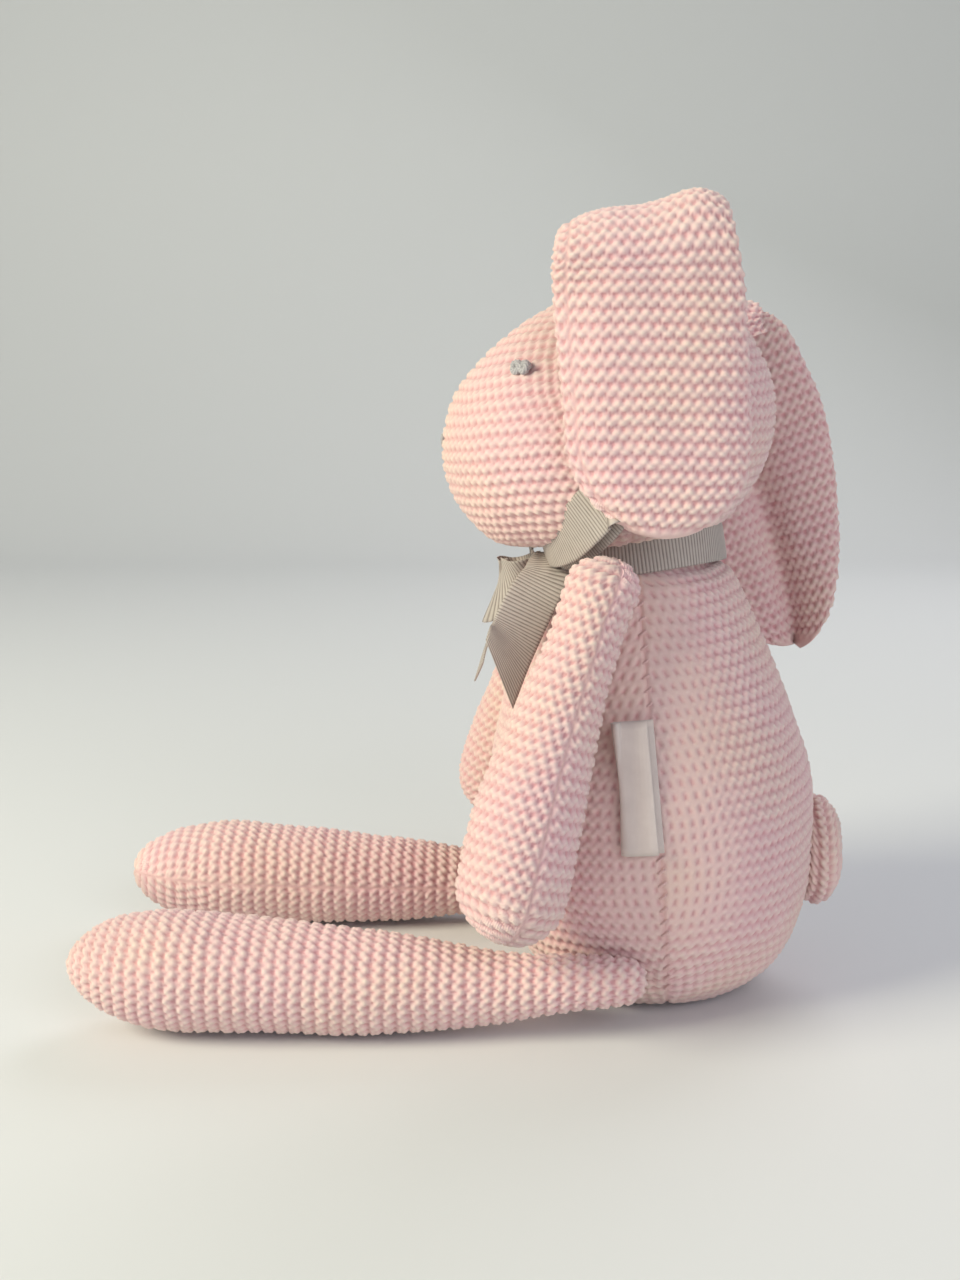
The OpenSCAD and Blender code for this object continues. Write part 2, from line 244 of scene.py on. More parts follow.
def knit_cover(name, p, seed, closed=False, out=1.0, relief=RELIEF, seam_dip=0.5, seam_half=1.3,
               tips=(None, None), along=None, down=None, open_knit=0.0, fade=None):
    """A knitted cover over a grid of points (rows by columns, millimetres). Its ridges follow the
    rows. The rows' two ends meet in a sewn seam, where the knit dips in. out is 1 or -1, the way out
    along the grid's normals. along and down replace the distances measured on the grid. tips close the
    first and last rows at a point. The relief is flat where fade is 0."""
    a, d = lengths(np.concatenate([p, p[:, :1]], 1) if closed else p)
    if closed:
        a = a[:, :-1]
    along = a if along is None else along
    down = d if down is None else down
    n = grid_normals(p, closed) * out
    edge = np.minimum(along - along.min(axis=1, keepdims=True), along.max(axis=1, keepdims=True) - along)
    keep = smooth(edge / seam_half)
    c = down[:, None] / RIDGE + np.zeros_like(along)
    h = garter(along / STITCH, c, seed, open_knit)
    h = lerp(0.55, h, keep)
    if fade is not None:
        h = lerp(0.7, h, fade)
    swell = lumps(p, 46, seed) * 0.5 + lumps(p, 19, seed + 5) * 0.22
    shift = relief * (h - 0.75) + swell - seam_dip * (1 - keep)
    if fade is not None:
        shift = shift * fade
    moved = p + n * shift[..., None]
    nv, nu = p.shape[:2]
    verts = moved.reshape(-1, 3)
    faces = [grid_faces(nv, nu, closed, flip=out < 0)]
    uv = np.stack([along / STITCH, c], -1).reshape(-1, 2)
    # the relief height, which the yarn's colour follows for painted shade in the valleys and painted
    # highlight on the ridges
    high = h.reshape(-1)
    # the seam's mask, which the yarn's colour reads to paint shade along the seam where the knit dips in
    seam = (1 - keep).reshape(-1)
    for end, tip in enumerate(tips):
        if tip is None:
            continue
        k = len(verts)
        verts = np.vstack([verts, tip])
        ring = np.arange(nu) + (0 if end == 0 else (nv - 1) * nu)
        faces.append(fan(ring, k, flip=(end == 1) != (out < 0)))
        uv = np.vstack([uv, uv[ring].mean(axis=0)])
        high = np.append(high, high[ring].mean())
        seam = np.append(seam, 0.0)
    return make_mesh(name, verts, faces, MATERIALS["knit"], uv, {"knit_h": high, "knit_seam_shade": seam})


def tube(name, points, radius, material, sides=10, samples=None, ply=0.0, turns=0.0):
    """A closed round yarn or cord along a smooth line, with its plies as a twisted relief."""
    n = samples or max(12, int(len(points) * 8))
    line, length = spline(points, n)
    t = unit(np.gradient(line, axis=0))
    ref = np.array([0.0, 0.0, 1.0]) if abs(t[0][2]) < 0.9 else np.array([0.0, 1.0, 0.0])
    e = np.zeros_like(t)
    e[0] = unit(np.cross(t[0], ref))
    for i in range(1, n):
        v = e[i - 1] - t[i] * (e[i - 1] @ t[i])
        e[i] = unit(v)
    f = np.cross(t, e)
    ang = np.linspace(0, 2 * math.pi, sides, endpoint=False)
    s = np.linspace(0, 1, n)
    taper = np.sqrt(np.clip(1 - (1 - np.clip(np.minimum(s, 1 - s) * length / radius, 0, 1)) ** 2, 0.02, 1))
    r = radius * taper[:, None] * (1 + ply * np.cos(3 * (ang[None] - turns * 2 * math.pi * s[:, None])))
    circle = np.cos(ang)[None, :, None] * e[:, None] + np.sin(ang)[None, :, None] * f[:, None]
    p = line[:, None] + r[..., None] * circle
    verts = np.vstack([p.reshape(-1, 3), line[0], line[-1]])
    faces = [grid_faces(n, sides, True), fan(np.arange(sides), n * sides),
             fan(np.arange(sides) + (n - 1) * sides, n * sides + 1, flip=True)]
    uv = np.stack([np.repeat(s * length, sides), np.tile(ang, n)], 1)
    uv = np.vstack([uv, [[0, 0], [length, 0]]])
    return make_mesh(name, verts, faces, material, uv)


def joined(name, objs):
    """Several meshes of one material as one piece."""
    verts, faces4, faces3, uvs, k = [], [], [], [], 0
    for o in objs:
        me = o.data
        co = np.zeros(len(me.vertices) * 3, np.float32)
        me.vertices.foreach_get("co", co)
        verts.append(co.reshape(-1, 3) / MM)
        loop_v = np.zeros(len(me.loops), np.int32)
        me.loops.foreach_get("vertex_index", loop_v)
        loop_uv = np.zeros(len(me.loops) * 2, np.float32)
        me.uv_layers[0].data.foreach_get("uv", loop_uv)
        vert_uv = np.zeros((len(me.vertices), 2), np.float32)
        vert_uv[loop_v] = loop_uv.reshape(-1, 2)
        uvs.append(vert_uv)
        size = np.zeros(len(me.polygons), np.int32)
        start = np.zeros(len(me.polygons), np.int32)
        me.polygons.foreach_get("loop_total", size)
        me.polygons.foreach_get("loop_start", start)
        for n, box in ((4, faces4), (3, faces3)):
            at = start[size == n]
            if len(at):
                box.append(loop_v[at[:, None] + np.arange(n)] + k)
        k += len(me.vertices)
    material = objs[0].data.materials[0]
    faces = [np.vstack(b) for b in (faces4, faces3) if b]
    for o in objs:
        bpy.data.objects.remove(o)
    return make_mesh(name, np.vstack(verts), faces, material, np.vstack(uvs))


# ==============================
# materials
# ==============================
def nodes_of(name):
    """A new material, its shader, and short ways to add and link nodes."""
    mat = bpy.data.materials.new(name)
    mat.use_nodes = True
    tree = mat.node_tree
    shader = tree.nodes["Principled BSDF"]

    def add(kind, **values):
        node = tree.nodes.new(kind)
        for key, value in values.items():
            if key in node.inputs:
                node.inputs[key].default_value = value
            else:
                setattr(node, key, value)
        return node

    return mat, shader, add, tree.links.new


def ramp(add, stops):
    """A colour ramp through (position, colour) stops."""
    node = add("ShaderNodeValToRGB")
    els = node.color_ramp.elements
    while len(els) < len(stops):
        els.new(0.5)
    for el, (pos, col) in zip(els, stops):
        el.position = pos
        el.color = (*col, 1)
    return node


def knit_material():
    """Soft cotton yarn with fine twisted plies, painted shade deeper pink in the valleys and painted
    highlight pale on the loops.
    """
    mat, shader, add, link = nodes_of("knit_yarn")
    uv = add("ShaderNodeUVMap", uv_map="UVMap")
    high = add("ShaderNodeAttribute", attribute_name="knit_h")
    seam = add("ShaderNodeAttribute", attribute_name="knit_seam_shade")
    # slow drift of the dye from stitch to stitch
    drift = add("ShaderNodeTexNoise", Scale=0.3, Detail=3.0, Roughness=0.6)
    link(uv.outputs["UV"], drift.inputs["Vector"])
    fleck = add("ShaderNodeTexNoise", Scale=2.6, Detail=4.0, Roughness=0.7)
    link(uv.outputs["UV"], fleck.inputs["Vector"])
    level = add("ShaderNodeMath", operation="MULTIPLY_ADD")
    link(fleck.outputs["Fac"], level.inputs[0])
    level.inputs[1].default_value = 0.34
    link(high.outputs["Fac"], level.inputs[2])
    shift = add("ShaderNodeMath", operation="MULTIPLY_ADD")
    link(drift.outputs["Fac"], shift.inputs[0])
    shift.inputs[1].default_value = 0.2
    link(level.outputs[0], shift.inputs[2])
    cut = add("ShaderNodeMath", operation="SUBTRACT")
    link(shift.outputs[0], cut.inputs[0])
    cut.inputs[1].default_value = 0.25
    # painted shade and highlight: the colour follows the relief height, deep pink in the valleys, cream on
    # the ridge tops, with a random dye drift
    tone = ramp(add, [(0.0, (0.74, 0.40, 0.41)), (0.22, (0.81, 0.51, 0.51)), (0.5, (0.86, 0.60, 0.58)),
                      (0.8, (0.89, 0.66, 0.62)), (1.0, (0.91, 0.73, 0.66))])
    link(cut.outputs[0], tone.inputs["Fac"])
    patches = add("ShaderNodeTexNoise", Scale=0.075, Detail=2.0, Roughness=0.5)
    link(uv.outputs["UV"], patches.inputs["Vector"])
    tint = ramp(add, [(0.36, (1.0, 0.97, 1.02)), (0.5, (1.0, 1.0, 1.0)), (0.64, (1.01, 1.02, 0.97))])
    link(patches.outputs["Fac"], tint.inputs["Fac"])
    tinted = add("ShaderNodeMix", data_type="RGBA", blend_type="MULTIPLY")
    tinted.inputs["Factor"].default_value = 1.0
    link(tone.outputs["Color"], tinted.inputs["A"])
    link(tint.outputs["Color"], tinted.inputs["B"])
    # painted shade along the seams, where the knit dips in
    seam_shade_mix = add("ShaderNodeMix", data_type="RGBA", blend_type="MULTIPLY")
    link(seam.outputs["Fac"], seam_shade_mix.inputs["Factor"])
    link(tinted.outputs["Result"], seam_shade_mix.inputs["A"])
    seam_shade_mix.inputs["B"].default_value = (0.95, 0.87, 0.88, 1)
    link(seam_shade_mix.outputs["Result"], shader.inputs["Base Color"])
    # twisted plies and stray fibres
    stretch = add("ShaderNodeMapping")
    stretch.inputs["Rotation"].default_value = (0, 0, 0.6)
    stretch.inputs["Scale"].default_value = (1.0, 3.2, 1)
    link(uv.outputs["UV"], stretch.inputs["Vector"])
    plies = add("ShaderNodeTexWave", Scale=1.7, Distortion=2.2, Detail=2.0)
    plies.inputs["Detail Scale"].default_value = 2.0
    link(stretch.outputs["Vector"], plies.inputs["Vector"])
    fibre = add("ShaderNodeTexNoise", Scale=9.0, Detail=5.0, Roughness=0.75)
    link(stretch.outputs["Vector"], fibre.inputs["Vector"])
    both = add("ShaderNodeMath", operation="MULTIPLY_ADD")
    link(fibre.outputs["Fac"], both.inputs[0])
    both.inputs[1].default_value = 0.9
    link(plies.outputs["Fac"], both.inputs[2])
    bump = add("ShaderNodeBump", Strength=0.55, Distance=0.00035)
    link(both.outputs[0], bump.inputs["Height"])
    link(bump.outputs["Normal"], shader.inputs["Normal"])
    shader.inputs["Roughness"].default_value = 0.92
    shader.inputs["Specular IOR Level"].default_value = 0.2
    shader.inputs["Sheen Weight"].default_value = 0.35
    shader.inputs["Sheen Roughness"].default_value = 0.5
    shader.inputs["Sheen Tint"].default_value = (1.0, 0.93, 0.9, 1)
    return mat


def yarn_material(name, light, deep):
    """Thick soft thread with a visible twist."""
    mat, shader, add, link = nodes_of(name)
    uv = add("ShaderNodeUVMap", uv_map="UVMap")
    wave = add("ShaderNodeTexWave", Scale=0.6, Distortion=1.5, Detail=2.0, bands_direction="DIAGONAL")
    link(uv.outputs["UV"], wave.inputs["Vector"])
    noise = add("ShaderNodeTexNoise", Scale=3.0, Detail=5.0)
    link(uv.outputs["UV"], noise.inputs["Vector"])
    mix = add("ShaderNodeMath", operation="MULTIPLY_ADD")
    link(wave.outputs["Fac"], mix.inputs[0])
    mix.inputs[1].default_value = 0.5
    link(noise.outputs["Fac"], mix.inputs[2])
    # painted shade in the twist's grooves: the colour follows the bump's height, deep where it is low
    tone = ramp(add, [(0.25, deep), (0.95, light)])
    link(mix.outputs[0], tone.inputs["Fac"])
    link(tone.outputs["Color"], shader.inputs["Base Color"])
    bump = add("ShaderNodeBump", Strength=0.6, Distance=0.0003)
    link(mix.outputs[0], bump.inputs["Height"])
    link(bump.outputs["Normal"], shader.inputs["Normal"])
    shader.inputs["Roughness"].default_value = 0.85
    shader.inputs["Sheen Weight"].default_value = 0.3
    return mat


def ribbon_material():
    """Grosgrain: close ribs across the ribbon, a fine warp along it, and a slight silk shine."""
    mat, shader, add, link = nodes_of("grosgrain")
    uv = add("ShaderNodeUVMap", uv_map="UVMap")
    rib = add("ShaderNodeAttribute", attribute_name="rib_h")
    warp = add("ShaderNodeTexWave", Scale=1.4, Distortion=0.3, bands_direction="Y")
    link(uv.outputs["UV"], warp.inputs["Vector"])
    noise = add("ShaderNodeTexNoise", Scale=0.35, Detail=4.0)
    link(uv.outputs["UV"], noise.inputs["Vector"])
    mix = add("ShaderNodeMath", operation="MULTIPLY_ADD")
    link(noise.outputs["Fac"], mix.inputs[0])
    mix.inputs[1].default_value = 0.35
    link(rib.outputs["Fac"], mix.inputs[2])
    # painted shade in the grooves between the ribs: the colour follows the rib height, dark in the grooves,
    # light on the rib tops, with a random drift
    tone = ramp(add, [(0.15, (0.20, 0.165, 0.15)), (0.55, (0.40, 0.345, 0.315)), (1.0, (0.50, 0.44, 0.405))])
    link(mix.outputs[0], tone.inputs["Fac"])
    link(tone.outputs["Color"], shader.inputs["Base Color"])
    bump = add("ShaderNodeBump", Strength=0.3, Distance=0.00012)
    link(warp.outputs["Fac"], bump.inputs["Height"])
    link(bump.outputs["Normal"], shader.inputs["Normal"])
    shader.inputs["Roughness"].default_value = 0.5
    shader.inputs["Sheen Weight"].default_value = 0.25
    shader.inputs["Sheen Roughness"].default_value = 0.35
    return mat


def label_material():
    """Blank woven satin tape."""
    mat, shader, add, link = nodes_of("woven_tape")
    uv = add("ShaderNodeUVMap", uv_map="UVMap")
    weave = add("ShaderNodeTexWave", Scale=1.6, Distortion=0.2, bands_direction="Y")
    link(uv.outputs["UV"], weave.inputs["Vector"])
    cross = add("ShaderNodeTexWave", Scale=1.1, Distortion=0.2, bands_direction="X")
    link(uv.outputs["UV"], cross.inputs["Vector"])
    both = add("ShaderNodeMath", operation="ADD")
    link(weave.outputs["Fac"], both.inputs[0])
    link(cross.outputs["Fac"], both.inputs[1])
    noise = add("ShaderNodeTexNoise", Scale=0.12, Detail=5.0)
    link(uv.outputs["UV"], noise.inputs["Vector"])
    tone = ramp(add, [(0.2, (0.62, 0.52, 0.49)), (0.8, (0.72, 0.62, 0.58))])
    link(noise.outputs["Fac"], tone.inputs["Fac"])
    link(tone.outputs["Color"], shader.inputs["Base Color"])
    bump = add("ShaderNodeBump", Strength=0.35, Distance=0.0001)
    link(both.outputs[0], bump.inputs["Height"])
    link(bump.outputs["Normal"], shader.inputs["Normal"])
    shader.inputs["Roughness"].default_value = 0.48
    shader.inputs["Sheen Weight"].default_value = 0.2
    return mat


MATERIALS = {
    "knit": knit_material(),
    "thread": yarn_material("eye_yarn", (0.5, 0.48, 0.5), (0.26, 0.24, 0.26)),
    "seam_thread": yarn_material("seam_yarn", (0.82, 0.55, 0.53), (0.62, 0.32, 0.32)),
    "ribbon": ribbon_material(),
    "label": label_material(),
}


# ==============================
# body
# ==============================
def body_rad(t):
    """Radius of the body at a height along its leaning centre line, drawn in to the neck at the top."""
    round_by = 2.8
    below = np.clip((BELLY_Z - t) / (BELLY_Z + SEAT_DROP), 0, 1)
    above = np.clip((t - BELLY_Z) / (BODY_H - BELLY_Z), 0, None)
    low = BODY_R * np.clip(1 - below**round_by, 0, 1) ** (1 / round_by)
    high = BODY_R - (BODY_R - NECK_SEAM_R) * above**1.5
    r = np.where(t < BELLY_Z, low, high)
    return lerp(r, NECK_R, smooth((t - NECK_FROM) / NECK_OVER))


def from_body(p):
    """From the leaning frame of the body to the row frame."""
    c, s = math.cos(BODY_LEAN), math.sin(BODY_LEAN)
    return np.stack([p[..., 0], SEAT_Y + p[..., 1] * c - p[..., 2] * s, p[..., 1] * s + p[..., 2] * c], -1)


def even(curve, step):
    """The same plane curve with evenly spaced points."""
    s = np.concatenate([[0], np.cumsum(np.linalg.norm(np.diff(curve, axis=0), axis=1))])
    want = np.linspace(0, s[-1], int(s[-1] / step))
    return np.stack([np.interp(want, s, curve[:, k]) for k in range(2)], 1)


def body_panel(side):
    """The body's cover in front of (-1) or behind (1) the side seams."""
    step = 1.15 * STEP
    seat = -SEAT_DROP + 12 * np.linspace(0.0005, 1, 80) ** 2
    t = np.concatenate([seat, np.linspace(8.2, 151, 400)])
    line = even(np.stack([body_rad(t), t], 1), step)
    reach = 90 + side * SEAM_TURN
    th = np.radians(np.linspace(-reach, reach, int(math.pi * 54 / step))) * side
    x = line[:, :1] * np.sin(th)[None]
    y = side * line[:, :1] * np.cos(th)[None]
    z = line[:, 1:] + np.zeros_like(x)
    p = from_body(np.stack([x, y, z], -1))
    # it flattens where it sits
    floor = 1.0
    d = p[..., 2] - floor
    p[..., 2] = floor + 0.5 * (d + np.sqrt(d * d + 2.0)) - 0.35 * smooth(1 - d / 6)
    # the fabric is stretched open beside the seams, under the arms, away from the seat
    open_from, open_over = 48, 30  # degrees from the middle of the panel
    beside = smooth((np.abs(np.degrees(th)) - open_from) / open_over)[None]
    beside = 0.95 * beside * smooth((z - 18) / 25)
    name = "body_front_panel" if side < 0 else "body_back_panel"
    o = knit_cover(name.replace("panel", "knit"), p, 3, out=side_sign(p), open_knit=beside,
                   relief=1.25 + 0.25 * beside)
    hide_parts(name, *(["body_stuffing"] if side < 0 else []))
    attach(o, "torso")


def side_sign(p):
    """1 where the grid's own normals point away from the body's middle, else -1."""
    n = grid_normals(p, False)
    k = tuple(s // 2 for s in p.shape[:2])
    away = p[k] - np.array([0, -12.0, p[k][2]])
    return 1.0 if n[k] @ away > 0 else -1.0


# ==============================
# head
# ==============================
NECK_UP = np.array([0, -math.sin(BODY_LEAN), math.cos(BODY_LEAN)])
NECK_AT = np.array([0, SEAT_Y, 0]) + NECK_UP * HEAD_SEAT


def head_panel(front):
    """The face, or the back of the head. Its ridges run round it, a little lower towards the face."""
    lat = np.linspace(-89.9, 89.9, int(math.pi * 50 / STEP))
    th = np.linspace(-90, 90, int(math.pi * 52 / STEP))
    la, lo = np.radians(lat)[:, None], np.radians(th)[None]
    way, length = (1, FACE_LEN) if front else (-1, NAPE_LEN)
    x = HEAD_R * np.cos(la) * np.sin(lo) * way
    f = length * np.cos(la) * np.cos(lo) * way
    u = (HEAD_R + 0.2) * np.sin(la) + 0 * lo
    c, s = math.cos(FACE_DROP), math.sin(FACE_DROP)
    p = np.stack([x, -f * c, u * c - f * s], -1) + HEAD_AT
    # the underside is drawn in flat where it is sewn on
    d = (p - NECK_AT) @ NECK_UP
    lift = 0.5 * (d + np.sqrt(d * d + 16.0)) - d
    p = p + NECK_UP * lift[..., None]
    n = grid_normals(p, False)
    k = (p.shape[0] // 2, p.shape[1] // 2)
    out = 1.0 if n[k] @ (p[k] - HEAD_AT) > 0 else -1.0
    name = "head_front_panel" if front else "head_back_panel"
    down = (lat - lat[0]) / 180 * math.pi * 49.5  # along a mean radius of the side outline
    o = knit_cover(name.replace("panel", "knit"), p, 11, out=out, down=down, relief=1.2)
    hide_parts(name, *(["head_stuffing"] if front else []))
    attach(o, "head")


# ==============================
# arms and legs
# ==============================
def limb_cover(name, nodes, start, axis, out_dir, dist, rad, seed, seam_at,
               bow=(0, 0, 0), squeeze=0.0, floor=None, lift=0.0):
    """A knitted tube from a root to a rounded end. dist and rad give its profile, out_dir and seam_at
    (degrees) say where its seam runs, bow bends it, squeeze flattens its root, floor is what it lies
    on, and lift raises its root."""
    line = even(np.stack([rad, dist], 1), STEP)
    r, d = line[:, 0], line[:, 1]
    axis = unit(axis)
    e1 = unit(np.asarray(out_dir, float) - axis * (np.asarray(out_dir, float) @ axis))
    e2 = np.cross(axis, e1)
    n = int(2 * math.pi * rad.max() * 0.92 / STEP)
    ang = np.linspace(0, 2 * math.pi, n, endpoint=False) + math.radians(seam_at)
    # flattened where it is sewn on, round further out
    sewn_over, lift_over = 26, 58
    sewn = squeeze * smooth(1 - (d - d[0]) / sewn_over)
    flat, wide = 1 - sewn, 1 + 0.45 * sewn
    share = (d - d[0]) / (d[-1] - d[0])
    bend = np.asarray(bow, float) * np.sin(math.pi * share)[:, None]
    centre = np.asarray(start, float) + axis * d[:, None] + bend
    centre = centre + np.array([0, 0, lift]) * smooth(1 - (d - d[0]) / lift_over)[:, None]
    p = (
        centre[:, None]
        + (r * flat)[:, None, None] * np.cos(ang)[None, :, None] * e1
        + (r * wide)[:, None, None] * np.sin(ang)[None, :, None] * e2
    )
    if floor is not None:
        gap = p[..., 2] - floor
        p[..., 2] = floor + 0.5 * (gap + np.sqrt(gap * gap + 3.0))
    nrm = grid_normals(p, True)
    k = p.shape[0] // 2
    out = 1.0 if (nrm[k, 0] @ (p[k, 0] - centre[k])) > 0 else -1.0
    tips = (p[0].mean(axis=0), p[-1].mean(axis=0))
    o = knit_cover(name.replace("cover", "knit"), p, seed, closed=True, out=out, tips=tips, seam_dip=0.3,
                   seam_half=0.9)
    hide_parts(*nodes)
    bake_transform(o)


def limb_stops(root_r, first, length, end_len, counts):
    """Distances along a limb, closer together at its round root and its round end. first is the
    first one past the root, and counts says how many there are in each part."""
    root = -root_r + root_r * np.linspace(0.002, 1, counts[0]) ** 2
    end = length + end_len * (1 - np.linspace(1, 0.002, counts[2]) ** 2)
    return np.concatenate([root, np.linspace(first, length, counts[1]), end])


def arm(side):
    """The left (1) or right (-1) arm, hanging forward from its shoulder."""
    mirror = np.array([side, 1, 1])
    shoulder = SHOULDER * mirror
    axis = unit(HAND * mirror - shoulder)
    d = limb_stops(SHOULDER_R, 0.2, ARM_LEN, HAND_LEN, (60, 200, 80))
    swell = (HAND_R - SHOULDER_R) * (1 - np.cos(math.pi * d / ARM_LEN)) / 2
    r = np.where(d < 0, np.sqrt(np.clip(SHOULDER_R**2 - d * d, 0.01, None)), SHOULDER_R + swell)
    r = np.where(d >= ARM_LEN, HAND_R * np.sqrt(np.clip(1 - ((d - ARM_LEN) / HAND_LEN) ** 2, 0.0005, 1)), r)
    r = r * (1 + 0.07 * smooth(d / 40))
    name = ("left" if side > 0 else "right") + "_arm_cover"
    stuffing = name.replace("cover", "stuffing")
    limb_cover(
        name, (name, stuffing), shoulder + np.array([-side * 1.6, 0, 0]), axis, (side, 0, 0), d, r,
        21 + side, -side * 15,
        bow=(side * 1.5, -3.0, 0), squeeze=0.3,
    )


def leg(side):
    """The left (1) or right (-1) leg, lying on the ground with its root raised."""
    hip = HIP * np.array([side, 1, 1])
    level = math.cos(LEG_RISE)
    axis = np.array([-side * math.sin(TOE_IN) * level, -math.cos(TOE_IN) * level, math.sin(LEG_RISE)])
    d = limb_stops(HIP_R, 0.3, SHIN_LEN, TOE_LEN, (50, 300, 140))
    swell = (FOOT_R - HIP_R) * (1 - np.clip(1 - d / SHIN_LEN, 0, 1) ** 1.5)
    r = np.where(d < 0, np.sqrt(np.clip(HIP_R**2 - d * d, 0.01, None)), HIP_R + swell)
    r = np.where(d >= SHIN_LEN, FOOT_R * np.sqrt(np.clip(1 - ((d - SHIN_LEN) / TOE_LEN) ** 2, 0.0003, 1)), r)
    # slimmer just below the hip
    r = r * (1 - 0.12 * smooth(1 - np.abs(d - 30) / 45))
    name = ("left" if side > 0 else "right") + "_leg_cover"
    stuffing = name.replace("cover", "stuffing")
    limb_cover(
        name, (name, stuffing), hip + np.array([-side * 1.2, 0, 0.3]), axis, (-side, 0, 0.5), d, r,
        31 + side, 20 if side > 0 else -20,
        bow=(0, 0, -0.6), squeeze=0.15, floor=0.9, lift=4.5,
    )


# ==============================
# ears
# ==============================
def ear(left):
    """Two knitted layers sewn round the rim, padded a little, folded over and hanging. Its strip
    stands on the head from z0, turns over an arc round xc, zc, and hangs down. The right ear is
    built upright about its fold, then tilted back."""
    if left:
        z0, xc, zc, rad = 222.0, 38.3, 240.5, 13.5
        hang, yc0, lean, half_max, thick = 83.0, -21.6, 0.085, 27.5, 4.9
    else:
        z0, xc, zc, rad = -10.0, 35.0, 0.0, 12.5
        hang, yc0, lean, half_max, thick = 122.0, 1.5, -0.055, 28.0, 4.2
    up = zc - z0
    total = up + math.pi * rad + hang
    b = np.linspace(0, total, int(total / STEP))
    # closer rows at the tip, where the outline closes
    b = np.concatenate([b[b < total - 1.5], total - 1.5 * np.linspace(1, 0, 16) ** 2])
    phi = math.pi - np.clip((b - up) / rad, 0, math.pi)
    nx, nz = np.cos(phi), np.sin(phi)
    drop = np.clip(b - up - math.pi * rad, 0, None)
    x = xc + rad * nx
    z = np.where(b < up, z0 + b, zc + rad * nz - drop)
    bow = (0.6 if left else 1.5) * np.sin(np.clip(drop / hang, 0, 1) * math.pi)
    x = x + bow - 2.0 * smooth(drop / hang - 0.45)
    to_tip = total - b
    end = 30.0 if left else 62.0
    half = half_max * np.sqrt(np.clip(1 - np.clip(1 - to_tip / end, 0, 1) ** 2, 0.00001, 1))
    fold_b = up + math.pi * rad / 2
    half = half * (1 - (0.1 if left else 0.04) * smooth(1 - np.abs(b - fold_b) / 34))
    half = half * lerp(0.66, 1.0, smooth(b / (up + 14)))
    t_prof = thick * np.sqrt(np.clip(1 - np.clip(1 - to_tip / 10, 0, 1) ** 2, 0.00001, 1))
    t_prof = t_prof * (1 + 0.25 * smooth(1 - np.abs(b - fold_b) / 20))
    centre = yc0 + lean * drop
    rim = math.radians(30 if left else 0)  # how far the inner layer comes round the front rim
    for layer, sign in (("outer", 1.0), ("inner", -1.0)):
        psi = np.linspace(-math.pi / 2 + sign * rim, math.pi / 2, int(2 * half_max * 1.12 / STEP))
        y = centre[:, None] + half[:, None] * np.sin(psi)[None]
        round_off = np.sign(np.cos(psi)) * np.abs(np.cos(psi)) ** 0.8
        off = sign * t_prof[:, None] * round_off[None]
        a = np.sin(psi)[None]
        px = x[:, None] + nx[:, None] * off
        pz = z[:, None] + nz[:, None] * off
        near_fold = smooth(1 - np.abs(b - fold_b) / 36)[:, None]
        if left:
            # the fold stands highest near the back and slopes down to the front corner
            peak = 1.9 * np.exp(-(((a - 0.62) / 0.3) ** 2)) - 1.2 * np.exp(-((a / 0.3) ** 2))
            pz = pz + near_fold * (-4.6 + 4.4 * a + peak)
            # the front rim turns towards the head
            px = px - 2.5 * smooth((-a - 0.5) / 0.5) * smooth(drop / 20)[:, None]
        else:
            # the fold slopes down to the back, and below it the ear is cupped about a soft crease
            pz = pz - near_fold * 14.0 * smooth((a + 0.2) / 1.2)
            cup = smooth(drop / 30)[:, None]
            px = px - cup * (9.0 * smooth((a - 0.05) / 0.95) - 4.6 * np.exp(-(((a - 0.12) / 0.2) ** 2)))
            back = smooth(a)
            y = y - 9.0 * back * near_fold + 5.0 * back * np.exp(-(((drop - 46) / 30) ** 2))[:, None]
        p = np.stack([px, y, pz], -1)
        if not left:
            t = math.radians(22)  # its backward tilt
            yy = p[..., 1] * math.cos(t) - p[..., 2] * math.sin(t)
            zz = p[..., 1] * math.sin(t) + p[..., 2] * math.cos(t)
            p = np.stack([-p[..., 0], yy + 6.0, zz + 223.0], -1)
        nrm = grid_normals(p, False)
        k = (int(len(b) * 0.75), len(psi) // 2)
        want = sign * (1 if left else -1)
        out = 1.0 if nrm[k][0] * want > 0 else -1.0
        word = "left" if left else "right"
        name = f"{word}_ear_{layer}"
        steps = np.linalg.norm(np.diff(p, axis=1), axis=2)
        along = np.concatenate([np.zeros((len(b), 1)), np.cumsum(steps, axis=1)], 1)
        along -= along[:, len(psi) // 2][:, None]
        o = knit_cover(name + "_knit", p, 41, out=out, along=along, down=b, relief=1.25, seam_dip=0.25,
                       seam_half=1.0, fade=smooth(to_tip / 4)[:, None])
        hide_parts(name, *([f"{word}_ear_root"] if layer == "outer" else []))
        if left:
            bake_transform(o)
        else:
            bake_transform(o)


# ==============================
# tail, eyes, nose, seams, label
# ==============================
def tail():
    """The flat bobble behind."""
    lat = np.linspace(-88.5, 88.5, int(math.pi * 15 / STEP))
    ang = np.linspace(0, 2 * math.pi, int(2 * math.pi * 19 / STEP), endpoint=False)
    la, lo = np.radians(lat)[:, None], ang[None]
    r = TAIL_R * np.cos(la) ** 0.8
    y = TAIL_HALF * np.sin(la) + 0 * lo
    p = np.stack([r * np.sin(lo), y, r * np.cos(lo)], -1) + TAIL_AT
    n = grid_normals(p, True)
    k = (p.shape[0] // 2, 0)
    out = 1.0 if n[k] @ (p[k] - TAIL_AT) > 0 else -1.0
    o = knit_cover("tail_knit", p, 51, closed=True, out=out, tips=(p[0].mean(axis=0), p[-1].mean(axis=0)),
                   seam_dip=0.2, relief=1.5)
    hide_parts("tail_cover", "tail_stuffing")
    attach(o, "torso")


